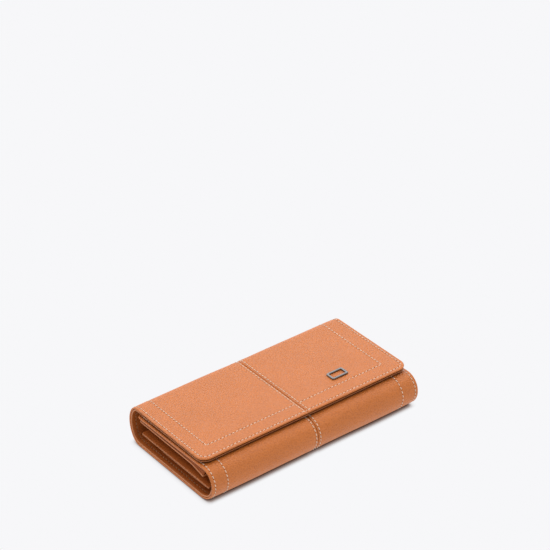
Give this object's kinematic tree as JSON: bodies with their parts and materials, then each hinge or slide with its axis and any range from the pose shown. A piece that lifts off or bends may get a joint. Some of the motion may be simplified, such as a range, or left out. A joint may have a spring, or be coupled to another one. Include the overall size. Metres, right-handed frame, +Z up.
{
  "type": "long trifold wallet",
  "caption": "Long clutch wallet: tan leather wrap-over flap with snap, two-part rear spine, front panel with zipped coin pocket, divider page and card slots.",
  "frame": {"origin": "centre of the footprint, on the surface the wallet lies on", "axes": "+X to the right along the long side, +Y towards the rear spine that the flap folds over, +Z up out of the flap"},
  "size_m": [0.19, 0.1038, 0.0345],
  "materials": {
    "outer_leather": "fine pebbled tan leather, soft satin sheen",
    "inner_leather": "smooth tan leather lining",
    "stiffener": "bonded leather board",
    "seam_tape": "woven reinforcing tape",
    "tape_fabric": "woven zip tape",
    "bag_fabric": "fine twill",
    "zip_metal": "polished nickel",
    "snap_metal": "satin gunmetal plate",
    "emblem_metal": "polished gunmetal plate"
  },
  "bodies": {
    "base": {"base_board_left": "stiffener", "base_board_right": "stiffener", "base_leather_left": "outer_leather", "base_leather_right": "outer_leather", "base_lining": "inner_leather", "base_seam_tape": "seam_tape", "base_slip_pocket": "inner_leather"},
    "spine_lower": {"spine_lower_leather_left": "outer_leather", "spine_lower_leather_right": "outer_leather", "spine_lower_lining": "inner_leather"},
    "spine_upper": {"spine_upper_leather_left": "outer_leather", "spine_upper_leather_right": "outer_leather", "spine_upper_lining": "inner_leather"},
    "flap": {"emblem": "emblem_metal", "emblem_clinch_plate": "emblem_metal", "flap_board_left": "stiffener", "flap_board_right": "stiffener", "flap_card_panel": "inner_leather", "flap_card_slot_left_1": "inner_leather", "flap_card_slot_left_2": "inner_leather", "flap_card_slot_left_3": "inner_leather", "flap_card_slot_right_1": "inner_leather", "flap_card_slot_right_2": "inner_leather", "flap_card_slot_right_3": "inner_leather", "flap_hinge_lining": "inner_leather", "flap_leather_left": "outer_leather", "flap_leather_right": "outer_leather", "flap_seam_tape": "seam_tape", "snap_stud": "snap_metal", "snap_stud_washer": "snap_metal"},
    "front_spine": {"divider_hinge_tape": "tape_fabric", "front_spine_leather_left": "outer_leather", "front_spine_leather_right": "outer_leather", "front_spine_lining": "inner_leather"},
    "front_panel": {"coin_pocket_bag": "bag_fabric", "coin_pocket_gusset_left": "inner_leather", "coin_pocket_gusset_right": "inner_leather", "coin_pocket_slip": "inner_leather", "coin_pocket_wall": "inner_leather", "front_panel_board_left": "stiffener", "front_panel_board_right": "stiffener", "front_panel_leather_left": "outer_leather", "front_panel_leather_right": "outer_leather", "front_panel_lining": "inner_leather", "front_panel_seam_tape": "seam_tape", "snap_socket": "snap_metal", "zip_end_stops": "zip_metal", "zip_tape_lower": "tape_fabric", "zip_tape_upper": "tape_fabric", "zip_teeth_lower": "zip_metal", "zip_teeth_upper": "zip_metal"},
    "divider": {"divider_core": "stiffener", "divider_leather_lower": "inner_leather", "divider_leather_upper": "inner_leather"},
    "zip_slider": {"zip_slider": "zip_metal"},
    "zip_pull": {"zip_pull": "zip_metal"}
  },
  "joints": [
    {"name": "rear_fold_lower", "type": "hinge", "parent": "base", "child": "spine_lower", "pos_m": [0, 0.0452, 0.00134], "axis": [-1, 0, 0], "range_deg": [0, 60]},
    {"name": "rear_fold_middle", "type": "hinge", "parent": "spine_lower", "child": "spine_upper", "pos_m": [0, 0.05194, 0.0165], "axis": [-1, 0, 0], "range_deg": [0, 60]},
    {"name": "rear_fold_upper", "type": "hinge", "parent": "spine_upper", "child": "flap", "pos_m": [0, 0.0452, 0.03166], "axis": [-1, 0, 0], "range_deg": [0, 60]},
    {"name": "front_fold_lower", "type": "hinge", "parent": "base", "child": "front_spine", "pos_m": [0, -0.04415, 0.00208], "axis": [1, 0, 0], "range_deg": [0, 18]},
    {"name": "front_fold_upper", "type": "hinge", "parent": "front_spine", "child": "front_panel", "pos_m": [0, -0.04833, 0.02459], "axis": [1, 0, 0], "range_deg": [0, 18]},
    {"name": "divider_fold", "type": "hinge", "parent": "front_spine", "child": "divider", "pos_m": [0, -0.0463, 0.013], "axis": [1, 0, 0], "range_deg": [0, 6]},
    {"name": "zip_slide", "type": "slide", "parent": "front_panel", "child": "zip_slider", "axis": [-1, 0, 0], "range_m": [0, 0.15]},
    {"name": "pull_swing", "type": "hinge", "parent": "zip_slider", "child": "zip_pull", "pos_m": [0.078, -0.0431, 0.0219], "axis": [0, 0, 1], "range_deg": [0, 6]}
  ],
  "couplings": [
    {"joint": "rear_fold_middle", "follows": "rear_fold_lower", "ratio": 1},
    {"joint": "rear_fold_upper", "follows": "rear_fold_lower", "ratio": 1},
    {"joint": "front_fold_lower", "follows": "rear_fold_lower", "ratio": 0.3},
    {"joint": "front_fold_upper", "follows": "rear_fold_lower", "ratio": 0.3},
    {"joint": "divider_fold", "follows": "rear_fold_lower", "ratio": 0.1}
  ]
}
